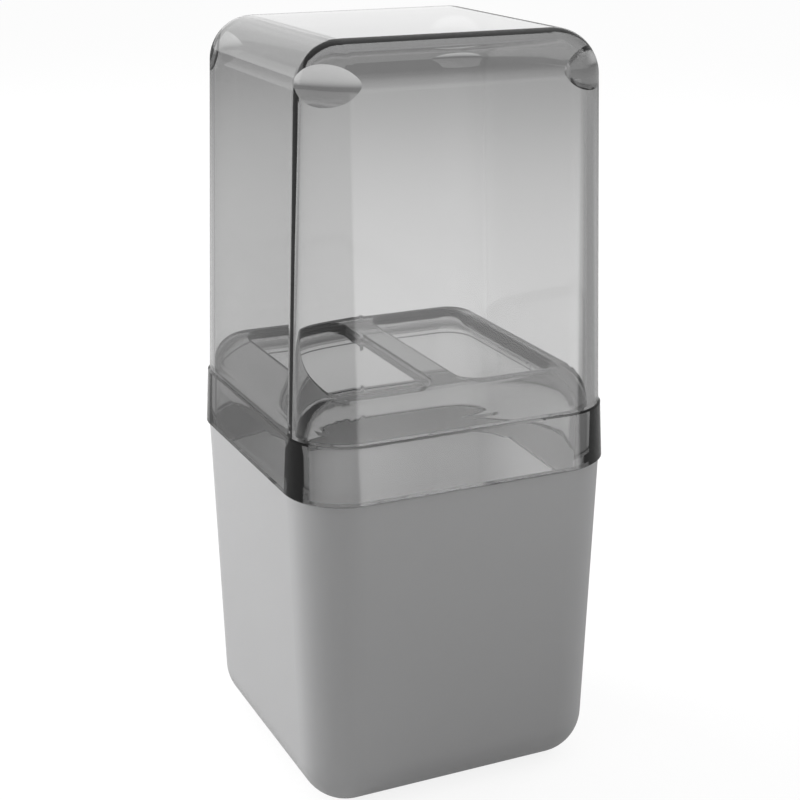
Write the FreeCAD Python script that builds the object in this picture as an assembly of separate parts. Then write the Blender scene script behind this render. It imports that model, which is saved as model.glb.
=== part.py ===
import FreeCAD, Part
import math
import os

# Brush holder of three mouldings: an opaque cup, a clear divider plugged into its mouth and a clear cover over it.
# Millimetres, +Z up, origin in the middle of the face that the cup stands on.
# -Y is the front, and the bridge between the two openings runs from front to back.
# The corners of every level turn about the corners of one square, the flat underneath and on top.

# Plan and fits
width = 85.8
corner_round = 15.4
slip_gap = 0.3
air_film = 0.05
edge_break = 0.4
overrun = 2.0

# Cup
cup_height = 85.1
cup_wall = 3.2
cup_taper = 2.6
band_overhang = 0.8

# Divider
band_height = 14.82
band_taper = 0.85
plug_depth = 10.0
plug_wall = 2.6
dome_height = 9.0
dome_round = 7.4
plate_thickness = 3.1
vault_height = 7.4
vault_lean = 2.5
vault_round = 6.3
throat_round = 20.0
border_width = 8.4
bridge_width = 7.3
opening_round = 5.5

# Cover
cover_height = 92.1
cover_wall = 2.8
cover_taper = 3.25
ledge_width = 0.47
waist_drop = 11.1
waist_corner_round = 13.97
waist_round = 12.0
waist_flare_share = 0.76

# Levels, from the table up
plug_bottom = cup_height - plug_depth
band_bottom = cup_height + air_film
ledge = band_bottom + band_height
dome_top = ledge + dome_height
plate_under = dome_top - plate_thickness
cover_bottom = ledge + air_film
cover_top = cover_bottom + cover_height
ceiling = cover_top - cover_wall
waist = cover_top - waist_drop
cover_mouth = cover_bottom - overrun

# Half widths, each from the piece that it meets
band_half = width / 2
core = band_half - corner_round
band_top_half = band_half - band_taper
band_slope = band_taper / band_height
mouth_half = band_half - band_overhang
foot_half = mouth_half - cup_taper
cup_slope = cup_taper / cup_height
cover_half = band_top_half - ledge_width
cover_slope = cover_taper / cover_height
ceiling_half = cover_half - cover_wall - cover_slope * (ceiling - cover_bottom)
waist_half = cover_half - cover_wall - cover_slope * (waist - cover_bottom) + air_film
waist_core = waist_half - waist_corner_round
dome_half = cover_half - cover_wall - slip_gap
plug_half = mouth_half - cup_wall - slip_gap
hollow_half = plug_half - plug_wall
opening_half = dome_half - border_width
bridge_half = bridge_width / 2


def outline(corners):
    """Edges through (half width, level, rounding) corners; a rounding of None takes all the room to its neighbours."""
    spots = [FreeCAD.Vector(half, 0, level) for half, level, rounding in corners]
    runs = [max((b - a).Length, air_film) for a, b in zip(spots, spots[1:])]
    reaches = [0.0]
    tangents = [0.0]
    for i in range(1, len(spots) - 1):
        turn = (spots[i] - spots[i - 1]).getAngle(spots[i + 1] - spots[i])
        tangents.append(math.tan(turn / 2))
        rounding = corners[i][2]
        room = min(runs[i - 1], runs[i])
        reaches.append(room if rounding is None else rounding * tangents[i])
    reaches.append(0.0)
    edges = []
    start = spots[0]
    for i in range(1, len(spots) - 1):
        before = runs[i - 1] / max(runs[i - 1], reaches[i - 1] + reaches[i])
        after = runs[i] / max(runs[i], reaches[i] + reaches[i + 1])
        reach = reaches[i] * min(before, after)
        back = (spots[i - 1] - spots[i]).normalize()
        ahead = (spots[i + 1] - spots[i]).normalize()
        first = spots[i] + back * reach
        last = spots[i] + ahead * reach
        if not first.isEqual(start, air_film / 2):
            edges.append(Part.LineSegment(start, first).toShape())
            start = first
        if reach:
            radius = reach / tangents[i]
            inward = (back + ahead).normalize()
            middle = spots[i] + inward * (math.hypot(radius, reach) - radius)
            edges.append(Part.Arc(start, middle, last).toShape())
            start = last
    if not spots[-1].isEqual(start, air_film / 2):
        edges.append(Part.LineSegment(start, spots[-1]).toShape())
    return edges


def rounded_square(corners, turn_half=core):
    """Solid under a half-width profile that runs along four sides and turns about the corners of a square."""
    low = corners[0][1]
    high = corners[-1][1]
    edges = outline([(turn_half, low, 0)] + corners + [(turn_half, high, 0)])
    bottom = edges[0].firstVertex(True).Point
    top = edges[-1].lastVertex(True).Point
    edges.append(Part.LineSegment(top, bottom).toShape())
    profile = Part.Face(Part.Wire(edges))
    profile.translate(FreeCAD.Vector(-turn_half, 0, 0))
    axis = FreeCAD.Vector(0, 0, 1)
    origin = FreeCAD.Vector(0, 0, 0)
    quarter = profile.revolve(origin, axis, 90)
    side = profile.extrude(FreeCAD.Vector(0, -2 * turn_half, 0))
    pieces = []
    for angle in (0, 90, 180, 270):
        for piece in (quarter, side):
            copy = piece.copy()
            copy.translate(FreeCAD.Vector(turn_half, turn_half, 0))
            copy.rotate(origin, axis, angle)
            pieces.append(copy)
    middle = Part.makeBox(2 * turn_half, 2 * turn_half, high - low, FreeCAD.Vector(-turn_half, -turn_half, low))
    return middle.multiFuse(pieces).removeSplitter()


def save(name, shape):
    """Writes one solid as a node."""
    solid = shape.Solids[0]
    solid.exportStep("parts/" + name + ".step")


os.makedirs("parts", exist_ok=True)

# Cup: drafted walls, an even wall thickness round the bottom rounding, a flat rim for the band to rest on
cup_outside = rounded_square([
    (foot_half, 0, None),
    (mouth_half, cup_height, 0),
])
cup_inside = rounded_square([
    (foot_half + cup_slope * cup_wall - cup_wall, cup_wall, None),
    (mouth_half + cup_slope * overrun - cup_wall, cup_height + overrun, 0),
])
cup = cup_outside.cut(cup_inside)
save("cup", cup)

# Divider: a plug in the cup's mouth, a thick band on its rim, a ledge for the cover and a dome with two openings
divider_outside = rounded_square([
    (plug_half - cup_slope * plug_depth, plug_bottom, 0),
    (plug_half, band_bottom, 0),
    (band_half - edge_break, band_bottom, 0),
    (band_half - band_slope * edge_break, band_bottom + edge_break, 0),
    (band_top_half + band_slope * edge_break, ledge - edge_break, 0),
    (band_top_half - edge_break, ledge, 0),
    (dome_half, ledge, 0),
    (dome_half - cover_slope * dome_height, dome_top, dome_round),
])
hollow = rounded_square([
    (hollow_half, plug_bottom - overrun, 0),
    (hollow_half, plate_under - vault_height, throat_round),
    (hollow_half - vault_lean, plate_under, vault_round),
])
divider = divider_outside.cut(hollow)
for side in (-1, 1):
    corner = FreeCAD.Vector(bridge_half, -opening_half, plate_under - vault_height)
    tool = Part.makeBox(opening_half - bridge_half, 2 * opening_half, plate_thickness + vault_height + overrun, corner)
    upright = [edge for edge in tool.Edges if edge.BoundBox.ZLength > plate_thickness]
    tool = tool.makeFillet(opening_round, upright)
    if side < 0:
        tool = tool.mirror(FreeCAD.Vector(0, 0, 0), FreeCAD.Vector(1, 0, 0))
    divider = divider.cut(tool)
rims = []
for edge in divider.Edges:
    box = edge.BoundBox
    level = box.ZMin > dome_top - air_film
    inside = max(-box.XMin, box.XMax) < opening_half + air_film
    if level and inside and max(-box.YMin, box.YMax) < opening_half + air_film:
        rims.append(edge)
divider = divider.makeChamfer(edge_break, rims)
save("divider", divider)

# Cover: a drafted box of even wall, open below; inside, a fuller turn round a waist thickens its four top corners
cover_outside = rounded_square([
    (cover_half, cover_bottom, 0),
    (cover_half - cover_taper, cover_top, None),
])
cover_inside = rounded_square([
    (cover_half - cover_wall + cover_slope * overrun, cover_mouth, 0),
    (ceiling_half, ceiling, None),
])
fuller_turn = rounded_square([
    (waist_half + waist_flare_share * (waist - cover_mouth), cover_mouth, 0),
    (waist_half, waist, waist_round),
    (waist_half, ceiling + overrun, 0),
], waist_core)
cover = cover_outside.cut(cover_inside.common(fuller_turn))
save("cover", cover)
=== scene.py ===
import math

import bpy
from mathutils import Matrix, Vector


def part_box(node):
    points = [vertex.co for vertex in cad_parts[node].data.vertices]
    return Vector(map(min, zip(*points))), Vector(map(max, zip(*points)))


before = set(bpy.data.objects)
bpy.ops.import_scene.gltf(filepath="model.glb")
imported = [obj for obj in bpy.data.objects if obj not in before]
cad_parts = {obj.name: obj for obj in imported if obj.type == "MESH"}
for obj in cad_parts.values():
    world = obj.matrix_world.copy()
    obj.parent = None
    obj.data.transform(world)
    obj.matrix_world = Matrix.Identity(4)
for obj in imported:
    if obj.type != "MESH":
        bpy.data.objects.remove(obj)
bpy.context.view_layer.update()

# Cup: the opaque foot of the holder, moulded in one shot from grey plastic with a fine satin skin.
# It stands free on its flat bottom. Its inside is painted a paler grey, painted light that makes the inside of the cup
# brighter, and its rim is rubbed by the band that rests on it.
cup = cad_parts["cup"]
cup_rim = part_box("cup")[1][2]

satin_grey = (0.39, 0.39, 0.393, 1)
satin_grey_pale = (0.41, 0.41, 0.413, 1)
# Painted light: the inside grey is paler than the plastic, to brighten the inner walls as if more light fell into the
# cup.
inside_painted_light_grey = (0.68, 0.68, 0.682, 1)
rubbed_grey = (0.42, 0.42, 0.425, 1)
satin_grain = 5200.0
cloud_scale = 28.0
satin_roughness, satin_change = 0.42, 0.2
satin_bump, satin_depth = 0.25, 0.0001
rub_start, rub_full = 0.0012, 0.0004
inside_turn = 0.004


def node_group(name, inputs, outputs):
    """An empty shader group with named sockets, and its two end nodes."""
    group = bpy.data.node_groups.new(name, "ShaderNodeTree")
    for label in inputs:
        group.interface.new_socket(label, in_out="INPUT", socket_type="NodeSocketFloat")
    for label in outputs:
        group.interface.new_socket(label, in_out="OUTPUT", socket_type="NodeSocketFloat")
    return group, group.nodes.new("NodeGroupInput"), group.nodes.new("NodeGroupOutput")


def moulded_skin():
    """Fine grain and slow clouds on a moulding: grain is noise at the mould's texture pitch, clouds are noise at
    a few centimetres, and the roughness is a base value plus a share of each."""
    group, given, result = node_group(
        "moulded_skin",
        ["Grain Scale", "Cloud Scale", "Base Roughness", "Roughness Change"],
        ["Grain", "Clouds", "Roughness"],
    )
    place = group.nodes.new("ShaderNodeTexCoord")
    grain = group.nodes.new("ShaderNodeTexNoise")
    grain.inputs["Detail"].default_value = 2.0
    clouds = group.nodes.new("ShaderNodeTexNoise")
    clouds.inputs["Detail"].default_value = 3.0
    both = group.nodes.new("ShaderNodeMath")
    both.operation = "MULTIPLY"
    change = group.nodes.new("ShaderNodeMath")
    change.operation = "MULTIPLY_ADD"
    link = group.links.new
    for noise, scale in ((grain, "Grain Scale"), (clouds, "Cloud Scale")):
        link(place.outputs["Object"], noise.inputs["Vector"])
        link(given.outputs[scale], noise.inputs["Scale"])
    link(grain.outputs["Fac"], both.inputs[0])
    link(clouds.outputs["Fac"], both.inputs[1])
    link(both.outputs[0], change.inputs[0])
    link(given.outputs["Roughness Change"], change.inputs[1])
    link(given.outputs["Base Roughness"], change.inputs[2])
    link(grain.outputs["Fac"], result.inputs["Grain"])
    link(clouds.outputs["Fac"], result.inputs["Clouds"])
    link(change.outputs[0], result.inputs["Roughness"])
    return group


skin_group = moulded_skin()


def new_material(name):
    """A material, its node tree and its shader."""
    material = bpy.data.materials.new(name)
    material.use_nodes = True
    tree = material.node_tree
    return material, tree, tree.nodes["Principled BSDF"]


def add_skin(tree, grain_scale, roughness, change):
    """Places the skin group in a material with its own values."""
    skin = tree.nodes.new("ShaderNodeGroup")
    skin.node_tree = skin_group
    skin.inputs["Grain Scale"].default_value = grain_scale
    skin.inputs["Cloud Scale"].default_value = cloud_scale
    skin.inputs["Base Roughness"].default_value = roughness
    skin.inputs["Roughness Change"].default_value = change
    return skin


def add_bump(tree, height, shader, strength, depth):
    """Turns a height into a normal for a shader."""
    bump = tree.nodes.new("ShaderNodeBump")
    bump.inputs["Strength"].default_value = strength
    bump.inputs["Distance"].default_value = depth
    tree.links.new(height, bump.inputs["Height"])
    tree.links.new(bump.outputs["Normal"], shader.inputs["Normal"])


def mix_colour(tree, amount, first, second):
    """Mixes two colours, each a value or a socket, by a socket."""
    mix = tree.nodes.new("ShaderNodeMix")
    mix.data_type = "RGBA"
    tree.links.new(amount, mix.inputs["Factor"])
    for socket, colour in ((mix.inputs[6], first), (mix.inputs[7], second)):
        if isinstance(colour, tuple):
            socket.default_value = colour
        else:
            tree.links.new(colour, socket)
    return mix.outputs[2]


def map_range(tree, value, low, high, to_low=0.0, to_high=1.0):
    """Smooth step of a socket from one range to another."""
    step = tree.nodes.new("ShaderNodeMapRange")
    step.interpolation_type = "SMOOTHSTEP"
    tree.links.new(value, step.inputs["Value"])
    for label, number in (("From Min", low), ("From Max", high), ("To Min", to_low), ("To Max", to_high)):
        step.inputs[label].default_value = number
    return step.outputs["Result"]


cup_plastic, tree, shader = new_material("cup_plastic")
skin = add_skin(tree, satin_grain, satin_roughness, satin_change)
place = tree.nodes.new("ShaderNodeTexCoord")
flat_place = tree.nodes.new("ShaderNodeVectorMath")
flat_place.operation = "MULTIPLY"
flat_place.inputs[1].default_value = (1, 1, 0)
facing_in = tree.nodes.new("ShaderNodeVectorMath")
facing_in.operation = "DOT_PRODUCT"
apart = tree.nodes.new("ShaderNodeSeparateXYZ")
tree.links.new(place.outputs["Object"], flat_place.inputs[0])
tree.links.new(flat_place.outputs["Vector"], facing_in.inputs[0])
tree.links.new(place.outputs["Normal"], facing_in.inputs[1])
tree.links.new(place.outputs["Object"], apart.inputs["Vector"])
outside = mix_colour(tree, skin.outputs["Clouds"], satin_grey, satin_grey_pale)
rubbed = map_range(tree, apart.outputs["Z"], cup_rim - rub_start, cup_rim - rub_full)
outside = mix_colour(tree, rubbed, outside, rubbed_grey)
# Painted light: faces turned towards the cup's middle get the paler inside grey.
inside = map_range(tree, facing_in.outputs["Value"], inside_turn, -inside_turn)
tree.links.new(mix_colour(tree, inside, outside, inside_painted_light_grey), shader.inputs["Base Color"])
tree.links.new(skin.outputs["Roughness"], shader.inputs["Roughness"])
add_bump(tree, skin.outputs["Grain"], shader, satin_bump, satin_depth)
cup.data.materials[0] = cup_plastic

# Divider: a clear smoked insert, moulded solid and polished, plugged into the cup's mouth.
# The thick band shows as a step between cup and cover, and the domed top has two openings with a bridge between.
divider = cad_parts["divider"]
divider_smoke = 80.0
divider_grain, divider_change = 5200.0, 0.008
polish_roughness = 0.006
clear_index = 1.49
wave_strength, wave_depth = 0.02, 0.0004


def choose(tree, amount, first, second):
    """One of two shaders, by a socket."""
    mix = tree.nodes.new("ShaderNodeMixShader")
    for socket, source in zip(mix.inputs, (amount, first, second)):
        tree.links.new(source, socket)
    return mix.outputs[0]


def smoked_plastic(name, smoke_density, grain_scale, roughness_change):
    """Clear plastic with a smoky tint: a full-transmission shader with a faint waviness, and a volume that absorbs
    by distance, so that thick places are darker than thin ones. Light from the lamps passes it, dimmed by the smoke."""
    material, tree, shader = new_material(name)
    shader.inputs["Base Color"].default_value = (1, 1, 1, 1)
    shader.inputs["Transmission Weight"].default_value = 1.0
    shader.inputs["IOR"].default_value = clear_index
    skin = add_skin(tree, grain_scale, polish_roughness, roughness_change)
    tree.links.new(skin.outputs["Roughness"], shader.inputs["Roughness"])
    add_bump(tree, skin.outputs["Clouds"], shader, wave_strength, wave_depth)
    smoke = tree.nodes.new("ShaderNodeVolumeAbsorption")
    smoke.inputs["Color"].default_value = (0, 0, 0, 1)
    smoke.inputs["Density"].default_value = smoke_density
    passed = tree.nodes.new("ShaderNodeBsdfTransparent")
    path = tree.nodes.new("ShaderNodeLightPath")
    surface = choose(tree, path.outputs["Is Shadow Ray"], shader.outputs[0], passed.outputs[0])
    tree.links.new(surface, tree.nodes["Material Output"].inputs["Surface"])
    tree.links.new(smoke.outputs["Volume"], tree.nodes["Material Output"].inputs["Volume"])
    return material


divider.data.materials[0] = smoked_plastic("divider_plastic", divider_smoke, divider_grain, divider_change)

# Cover: a tall clear smoked hood of even wall, moulded in one piece and polished inside and out.
# It drops over the dome and rests on the band's ledge, held by nothing but its own weight.
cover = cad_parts["cover"]
cover_smoke = 60.0
cover_grain, cover_change = 4800.0, 0.006
cover.data.materials[0] = smoked_plastic("cover_plastic", cover_smoke, cover_grain, cover_change)

# Camera: stands at the photograph's place, a little to the left of the front and above the holder.
# Its turn, height, distance and lens come from the outlines of the three pieces in the picture.
camera_turn = math.radians(-24.6747)
camera_rise = math.radians(18.6446)
camera_distance = 0.4446
aim_height = 0.09469
aim_aside = 0.00042
sensor = 36.0
focal_pixels = 1698.86
frame_pixels = 800
nearest_seen = 0.01

towards_camera = Vector((
    math.sin(camera_turn) * math.cos(camera_rise),
    -math.cos(camera_turn) * math.cos(camera_rise),
    math.sin(camera_rise),
))
camera_right = Vector((math.cos(camera_turn), math.sin(camera_turn), 0))
lens = bpy.data.cameras.new("camera")
lens.sensor_width = sensor
lens.lens = sensor * focal_pixels / frame_pixels
lens.clip_start = nearest_seen
camera = bpy.data.objects.new("camera", lens)
camera.location = camera_right * aim_aside + Vector((0, 0, aim_height)) + towards_camera * camera_distance
camera.rotation_euler = (-towards_camera).to_track_quat("-Z", "Y").to_euler()
bpy.context.scene.collection.objects.link(camera)
bpy.context.scene.camera = camera

# Studio floor: white paper without an edge, which keeps the holder's shadow.
# Clear plastic and gloss see it glow as painted light: a white pool behind the holder, dimmer far off and to the sides.
# Reflections alone also show a painted reflection at the front right: the floor glows there like a bright card, though
# no card lies on it.
floor_half = 6.0
floor_level = -0.0001
floor_glow = 0.86
floor_shadow = (0.16, 0.16, 0.16, 1)
floor_bounce = (0.6, 0.6, 0.6, 1)
floor_roughness = 0.9
pool_towards = (0.3, 0.954, 0)
pool_edge, pool_core = 0.7, 0.88
pool_near, pool_far = 0.3, 2.0
pool_white, pool_dim = 0.8, 0.24
pool_side = 0.42
painted_card_towards = (-math.sin(camera_turn), -math.cos(camera_turn), 0)
painted_card_edge, painted_card_core = 0.90, 0.96
painted_card_near, painted_card_far = 0.2, 0.3
painted_card_white, painted_card_dim = 3.2, 0.96


def add_math(tree, operation, first, second):
    """Joins two sockets or values by one operation."""
    node = tree.nodes.new("ShaderNodeMath")
    node.operation = operation
    for socket, value in zip(node.inputs, (first, second)):
        if isinstance(value, float):
            socket.default_value = value
        else:
            tree.links.new(value, socket)
    return node.outputs[0]


def dot_with(tree, vector, towards):
    """How far a vector socket points in a given direction."""
    node = tree.nodes.new("ShaderNodeVectorMath")
    node.operation = "DOT_PRODUCT"
    node.inputs[1].default_value = towards
    tree.links.new(vector, node.inputs[0])
    return node.outputs["Value"]


def mirrored_rays(tree, path):
    """Mask of rays that come straight off a surface: rays through clear plastic count as glossy as well."""
    rays = add_math(tree, "SUBTRACT", path.outputs["Is Glossy Ray"], path.outputs["Is Transmission Ray"])
    return add_math(tree, "MAXIMUM", rays, 0.0)


floor_paper_and_painted_glow, tree, shader = new_material("floor_paper_and_painted_glow")
shader.inputs["Base Color"].default_value = floor_bounce
shader.inputs["Roughness"].default_value = floor_roughness
shader.inputs["Specular IOR Level"].default_value = 0.0
glow = tree.nodes.new("ShaderNodeEmission")
glow.inputs["Strength"].default_value = floor_glow
shade = tree.nodes.new("ShaderNodeBsdfDiffuse")
shade.inputs["Color"].default_value = floor_shadow
seen = tree.nodes.new("ShaderNodeAddShader")
tree.links.new(glow.outputs[0], seen.inputs[0])
tree.links.new(shade.outputs[0], seen.inputs[1])
path = tree.nodes.new("ShaderNodeLightPath")
place = tree.nodes.new("ShaderNodeTexCoord")
reach = tree.nodes.new("ShaderNodeVectorMath")
reach.operation = "LENGTH"
bearing = tree.nodes.new("ShaderNodeVectorMath")
bearing.operation = "NORMALIZE"
for node in (reach, bearing):
    tree.links.new(place.outputs["Object"], node.inputs[0])
distance = reach.outputs["Value"]
behind = dot_with(tree, bearing.outputs["Vector"], pool_towards)
before = dot_with(tree, bearing.outputs["Vector"], painted_card_towards)
# Painted light: for clear plastic and gloss the floor glows as a white pool behind the holder, dimmer far off and to
# the sides.
level = tree.nodes.new("ShaderNodeMix")
level.inputs[2].default_value = pool_side
tree.links.new(map_range(tree, behind, pool_edge, pool_core), level.inputs[0])
tree.links.new(map_range(tree, distance, pool_near, pool_far, pool_white, pool_dim), level.inputs[3])
# Painted reflection: the floor glows brightly at the front right for mirrored rays only, as if a white card lay there.
painted_card = add_math(tree, "MULTIPLY", mirrored_rays(tree, path), map_range(tree, distance, painted_card_near, painted_card_far))
painted_card = add_math(tree, "MULTIPLY", painted_card, map_range(tree, before, painted_card_edge, painted_card_core))
painted_card = add_math(tree, "MULTIPLY", painted_card, map_range(tree, distance, pool_near, pool_far, painted_card_white, painted_card_dim))
painted_pool_glow = tree.nodes.new("ShaderNodeEmission")
tree.links.new(add_math(tree, "ADD", painted_card, level.outputs[0]), painted_pool_glow.inputs["Strength"])
surface = choose(tree, path.outputs["Is Camera Ray"], painted_pool_glow.outputs[0], seen.outputs[0])
surface = choose(tree, path.outputs["Diffuse Depth"], surface, shader.outputs[0])
tree.links.new(surface, tree.nodes["Material Output"].inputs["Surface"])
floor_corners = [(x * floor_half, y * floor_half, floor_level) for x, y in ((-1, -1), (1, -1), (1, 1), (-1, 1))]
floor_mesh = bpy.data.meshes.new("floor")
floor_mesh.from_pydata(floor_corners, [], [(0, 1, 2, 3)])
floor_mesh.materials.append(floor_paper_and_painted_glow)
floor = bpy.data.objects.new("floor", floor_mesh)
bpy.context.scene.collection.objects.link(floor)

# Studio room: white to the camera, and dim to clear plastic and gloss, so that the rounded edges show dark lines.
# Reflections alone also show two bright panels at the back, a low wide one and a taller one to the left of it.
# Light falls on the holder mainly from overhead.
room_light, overhead_light = 0.2, 1.0
overhead_start, overhead_full = 0.3, 0.9
room_low, room_high, room_rise = 0.34, 0.4, 0.4
panel_white = 1.35
panel_foot, panel_fade, foot_fade = 0.09, 0.08, 0.04

studio = bpy.data.worlds.new("studio")
bpy.context.scene.world = studio
studio.use_nodes = True
tree = studio.node_tree
direction = tree.nodes.new("ShaderNodeTexCoord").outputs["Generated"]
apart = tree.nodes.new("ShaderNodeSeparateXYZ")
path = tree.nodes.new("ShaderNodeLightPath")
tree.links.new(direction, apart.inputs["Vector"])
rise = apart.outputs["Z"]


def bright_panel(towards, edge, core, top):
    """Mask of a wall panel: near one bearing, from just over the floor's far edge up to a height."""
    across = map_range(tree, dot_with(tree, direction, Vector(towards).normalized()), edge, core)
    below = map_range(tree, rise, top + panel_fade, top)
    above = map_range(tree, rise, panel_foot - foot_fade, panel_foot)
    return add_math(tree, "MULTIPLY", across, add_math(tree, "MULTIPLY", below, above))


low_panel = bright_panel((0, 1, 0), 0.6, 0.88, 0.2)
left_panel = bright_panel((-0.3, 0.95, 0), 0.75, 0.8, 0.42)
panels = add_math(tree, "MULTIPLY", add_math(tree, "MAXIMUM", low_panel, left_panel), mirrored_rays(tree, path))
panels = add_math(tree, "MULTIPLY", panels, panel_white)
around = add_math(tree, "MAXIMUM", panels, map_range(tree, rise, 0.0, room_rise, room_low, room_high))
lit = tree.nodes.new("ShaderNodeMix")
tree.links.new(path.outputs["Diffuse Depth"], lit.inputs[0])
tree.links.new(around, lit.inputs[2])
tree.links.new(map_range(tree, rise, overhead_start, overhead_full, room_light, overhead_light), lit.inputs[3])
strength = add_math(tree, "MAXIMUM", lit.outputs[0], path.outputs["Is Camera Ray"])
tree.links.new(strength, tree.nodes["Background"].inputs["Strength"])
tree.nodes["Background"].inputs["Color"].default_value = (1, 1, 1, 1)

# Studio lamps: a broad soft lamp at the back left, a weaker one on the right, and neither shows in the plastic.
# A very small lamp inside the cup stands for the light that the clear pieces let in and that the renderer loses.
lamp_size = 0.8
lamp_aim = Vector((0, 0, 0.09))
left_power, right_power = 13.5, 4.0
left_place, right_place = (-0.66, 0.69, 0.4), (0.95, 0.1, 0.4)
fill_power = 0.024
fill_height = 0.06
fill_radius = 0.015

fill_light = bpy.data.lights.new("fill_lamp", "POINT")
fill_light.shadow_soft_size = fill_radius
fill_light.energy = fill_power
fill_lamp = bpy.data.objects.new("fill_lamp", fill_light)
fill_lamp.location = (0, 0, fill_height)
lamps = [fill_lamp]
for name, power, spot in (("left_lamp", left_power, left_place), ("right_lamp", right_power, right_place)):
    light = bpy.data.lights.new(name, "AREA")
    light.shape = "SQUARE"
    light.size = lamp_size
    light.energy = power
    lamp = bpy.data.objects.new(name, light)
    lamp.location = spot
    lamp.rotation_euler = (lamp_aim - lamp.location).to_track_quat("-Z", "Y").to_euler()
    lamps.append(lamp)
for lamp in lamps:
    lamp.visible_camera = False
    lamp.visible_glossy = False
    lamp.visible_transmission = False
    bpy.context.scene.collection.objects.link(lamp)

bpy.context.scene.view_settings.view_transform = "Standard"
